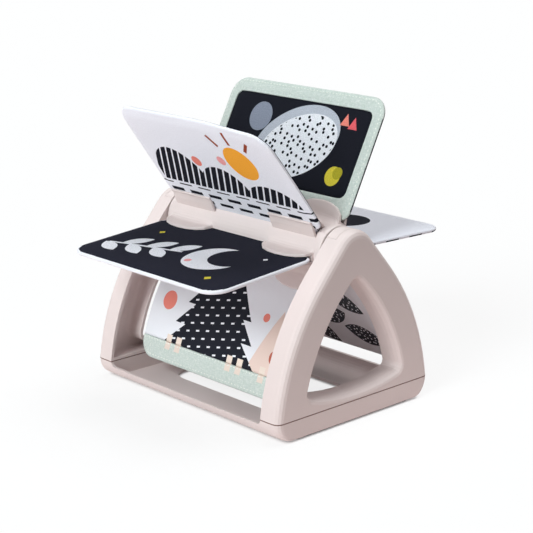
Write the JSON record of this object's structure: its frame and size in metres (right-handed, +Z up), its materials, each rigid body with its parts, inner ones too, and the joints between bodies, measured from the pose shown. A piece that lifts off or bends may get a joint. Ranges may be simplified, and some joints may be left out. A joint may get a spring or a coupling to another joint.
{
  "type": "baby spinning book",
  "caption": "Tabletop toy book whose stiff fabric pages turn like a paddle wheel on a drum between two rounded arches on a low moulded base.",
  "frame": {"origin": "centre of the bounding box's underside, on the ground below the axle", "axes": "+X along the axle, to the right seen from the front; -Y is the front; +Z up"},
  "size_m": [0.22, 0.2476, 0.2405],
  "materials": {
    "pink_plastic": "fine satin texture, dusty pink",
    "core_plastic": "plain",
    "sole_rubber": "matte",
    "screw_steel": "zinc plated",
    "page_board": "stiff foam board",
    "navy_cloth": "printed cloth",
    "lilac_cloth": "woven cloth",
    "mint_cloth": "heathered cloth",
    "white_satin": "smooth printed cloth",
    "dark_panel": "printed cloth"
  },
  "bodies": {
    "stand": {"base_tray": "pink_plastic", "left_arch": "pink_plastic", "right_arch": "pink_plastic", "left_bearing_cap": "pink_plastic", "right_bearing_cap": "pink_plastic", "left_sole": "sole_rubber", "right_sole": "sole_rubber", "arch_screw_left_front": "screw_steel", "arch_screw_left_rear": "screw_steel", "arch_screw_right_front": "screw_steel", "arch_screw_right_rear": "screw_steel"},
    "rotor": {"spindle": "core_plastic", "drum_front_half": "pink_plastic", "drum_rear_half": "pink_plastic", "drum_screw_front_left": "screw_steel", "drum_screw_front_right": "screw_steel", "drum_screw_rear_left": "screw_steel", "drum_screw_rear_right": "screw_steel", "page_1_board": "page_board", "page_1_cover": "navy_cloth", "page_2_board": "page_board", "page_2_cover": "lilac_cloth", "page_3_board": "page_board", "page_3_cover": "mint_cloth", "page_3_panel": "dark_panel", "page_4_board": "page_board", "page_4_cover": "lilac_cloth", "page_5_board": "page_board", "page_5_cover": "white_satin", "page_6_board": "page_board", "page_6_cover": "white_satin", "page_6_band": "mint_cloth"}
  },
  "joints": [
    {"name": "rotor_spin", "type": "hinge", "parent": "stand", "child": "rotor", "pos_m": [0, 0, 0.13], "axis": [1, 0, 0], "continuous": true}
  ]
}
